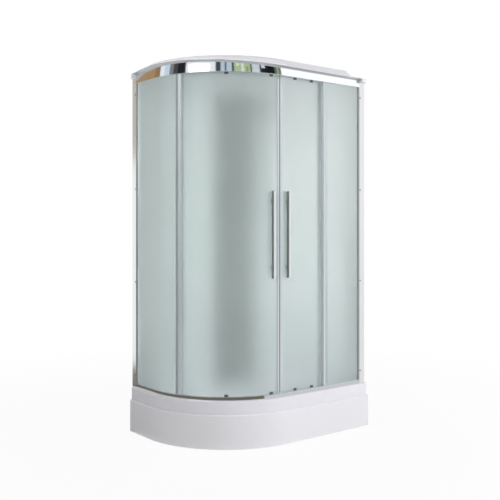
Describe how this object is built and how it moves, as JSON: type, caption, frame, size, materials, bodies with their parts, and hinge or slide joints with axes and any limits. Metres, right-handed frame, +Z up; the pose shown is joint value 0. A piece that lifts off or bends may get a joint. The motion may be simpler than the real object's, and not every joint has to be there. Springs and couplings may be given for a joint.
{
  "type": "shower cabin",
  "caption": "Offset-quadrant shower cabin with a deep tray, frosted bent front, sliding doors, closed back walls and a roof.",
  "frame": {"origin": "on the floor, under the middle of the cabin's plan", "axes": "+Z up, -Y out through the flat front glass, +X towards the closed side wall, +Y towards the closed back wall; the bend is at the -X -Y corner"},
  "size_m": [1.2, 0.8, 2.15],
  "materials": {
    "acrylic_white": "gloss",
    "abs_white": "gloss",
    "frame_steel": "satin",
    "foot_plastic": "matte",
    "chrome": "polished",
    "pipe_plastic": "matte",
    "rail_chrome": "polished",
    "post_aluminium": "satin",
    "screw_dark": "satin",
    "frosted_glass": "frosted",
    "gasket_rubber": "matte",
    "seal_vinyl": "satin",
    "roller_plastic": "satin",
    "wheel_plastic": "satin",
    "wall_panel": "gloss",
    "column_plastic": "gloss",
    "inlet_brass": "satin",
    "shelf_plastic": "gloss"
  },
  "bodies": {
    "cabin": {"apron": "abs_white", "back_panel_left": "wall_panel", "back_panel_right": "wall_panel", "bottom_rail": "rail_chrome", "corner_post": "post_aluminium", "drain_flange": "chrome", "drain_strainer": "chrome", "drain_trap": "pipe_plastic", "foot_lock_nuts": "frame_steel", "hose_outlet": "chrome", "left_fixed_glass": "frosted_glass", "left_fixed_seal": "seal_vinyl", "left_gasket": "gasket_rubber", "left_wall_post": "post_aluminium", "mixer_body": "chrome", "overhead_rose": "chrome", "post_screws": "screw_dark", "right_fixed_glass": "frosted_glass", "right_fixed_seal": "seal_vinyl", "right_gasket": "gasket_rubber", "right_wall_post": "post_aluminium", "roof": "abs_white", "shelf": "shelf_plastic", "shower_arm": "chrome", "shower_column": "column_plastic", "side_panel": "wall_panel", "top_rail": "rail_chrome", "tray": "acrylic_white", "tray_feet": "foot_plastic", "tray_frame": "frame_steel", "water_inlets": "inlet_brass"},
    "left_door": {"left_door_edge_seal": "seal_vinyl", "left_door_glass": "frosted_glass", "left_door_guides": "roller_plastic", "left_door_handle": "chrome", "left_door_hangers": "roller_plastic", "left_door_magnet_seal": "seal_vinyl", "left_handle_bolts": "chrome"},
    "right_door": {"right_door_edge_seal": "seal_vinyl", "right_door_glass": "frosted_glass", "right_door_guides": "roller_plastic", "right_door_handle": "chrome", "right_door_hangers": "roller_plastic", "right_door_magnet_seal": "seal_vinyl", "right_handle_bolts": "chrome"},
    "left_bottom_wheel_front": {"left_bottom_wheel_front": "wheel_plastic"},
    "left_bottom_wheel_rear": {"left_bottom_wheel_rear": "wheel_plastic"},
    "left_top_wheel_front": {"left_top_wheel_front": "wheel_plastic"},
    "left_top_wheel_rear": {"left_top_wheel_rear": "wheel_plastic"},
    "right_bottom_wheel_front": {"right_bottom_wheel_front": "wheel_plastic"},
    "right_bottom_wheel_rear": {"right_bottom_wheel_rear": "wheel_plastic"},
    "right_top_wheel_front": {"right_top_wheel_front": "wheel_plastic"},
    "right_top_wheel_rear": {"right_top_wheel_rear": "wheel_plastic"},
    "mixer_cap": {"mixer_cap": "chrome"},
    "mixer_lever": {"mixer_lever": "chrome"},
    "diverter_knob": {"diverter_knob": "chrome"}
  },
  "joints": [
    {"name": "left_door_slide", "type": "hinge", "parent": "cabin", "child": "left_door", "pos_m": [-0.05, 0.15, 0.28], "axis": [0, 0, -1], "range_deg": [0, 42]},
    {"name": "right_door_slide", "type": "slide", "parent": "cabin", "child": "right_door", "axis": [1, 0, 0], "range_m": [0, 0.23]},
    {"name": "left_top_wheel_front_spin", "type": "hinge", "parent": "left_door", "child": "left_top_wheel_front", "pos_m": [-0.11285, -0.34755, 2.0843], "axis": [-0.1253, -0.9921, 0], "range_deg": [-5, 2112]},
    {"name": "right_top_wheel_front_spin", "type": "hinge", "parent": "right_door", "child": "right_top_wheel_front", "pos_m": [0.061, -0.3515, 2.0843], "axis": [0, 1, 0], "range_deg": [-5, 1323]},
    {"name": "left_top_wheel_rear_spin", "type": "hinge", "parent": "left_door", "child": "left_top_wheel_rear", "pos_m": [-0.35599, -0.24733, 2.0843], "axis": [-0.6101, -0.7923, 0], "range_deg": [-5, 2112]},
    {"name": "right_top_wheel_rear_spin", "type": "hinge", "parent": "right_door", "child": "right_top_wheel_rear", "pos_m": [0.188, -0.3515, 2.0843], "axis": [0, 1, 0], "range_deg": [-5, 1323]},
    {"name": "left_bottom_wheel_front_spin", "type": "hinge", "parent": "left_door", "child": "left_bottom_wheel_front", "pos_m": [-0.11285, -0.34755, 0.2723], "axis": [-0.1253, -0.9921, 0], "range_deg": [-5, 3014]},
    {"name": "right_bottom_wheel_front_spin", "type": "hinge", "parent": "right_door", "child": "right_bottom_wheel_front", "pos_m": [0.061, -0.3515, 0.2723], "axis": [0, 1, 0], "range_deg": [-5, 1888]},
    {"name": "left_bottom_wheel_rear_spin", "type": "hinge", "parent": "left_door", "child": "left_bottom_wheel_rear", "pos_m": [-0.35599, -0.24733, 0.2723], "axis": [-0.6101, -0.7923, 0], "range_deg": [-5, 3014]},
    {"name": "right_bottom_wheel_rear_spin", "type": "hinge", "parent": "right_door", "child": "right_bottom_wheel_rear", "pos_m": [0.188, -0.3515, 0.2723], "axis": [0, 1, 0], "range_deg": [-5, 1888]},
    {"name": "mixer_turn", "type": "hinge", "parent": "cabin", "child": "mixer_cap", "pos_m": [0.165, 0.2737, 1.15], "axis": [0, -1, 0], "range_deg": [-45, 45]},
    {"name": "mixer_lift", "type": "hinge", "parent": "mixer_cap", "child": "mixer_lever", "pos_m": [0.165, 0.2687, 1.15], "axis": [-1, 0, 0], "range_deg": [0, 25]},
    {"name": "diverter_turn", "type": "hinge", "parent": "cabin", "child": "diverter_knob", "pos_m": [0.165, 0.3147, 1.01], "axis": [0, -1, 0], "range_deg": [0, 90]}
  ],
  "couplings": [
    {"joint": "left_top_wheel_front_spin", "follows": "left_door_slide", "ratio": 50.15},
    {"joint": "right_top_wheel_front_spin", "follows": "right_door_slide", "rad_per_m": 100},
    {"joint": "left_top_wheel_rear_spin", "follows": "left_door_slide", "ratio": 50.15},
    {"joint": "right_top_wheel_rear_spin", "follows": "right_door_slide", "rad_per_m": 100},
    {"joint": "left_bottom_wheel_front_spin", "follows": "left_door_slide", "ratio": 71.643},
    {"joint": "right_bottom_wheel_front_spin", "follows": "right_door_slide", "rad_per_m": 142.86},
    {"joint": "left_bottom_wheel_rear_spin", "follows": "left_door_slide", "ratio": 71.643},
    {"joint": "right_bottom_wheel_rear_spin", "follows": "right_door_slide", "rad_per_m": 142.86}
  ]
}
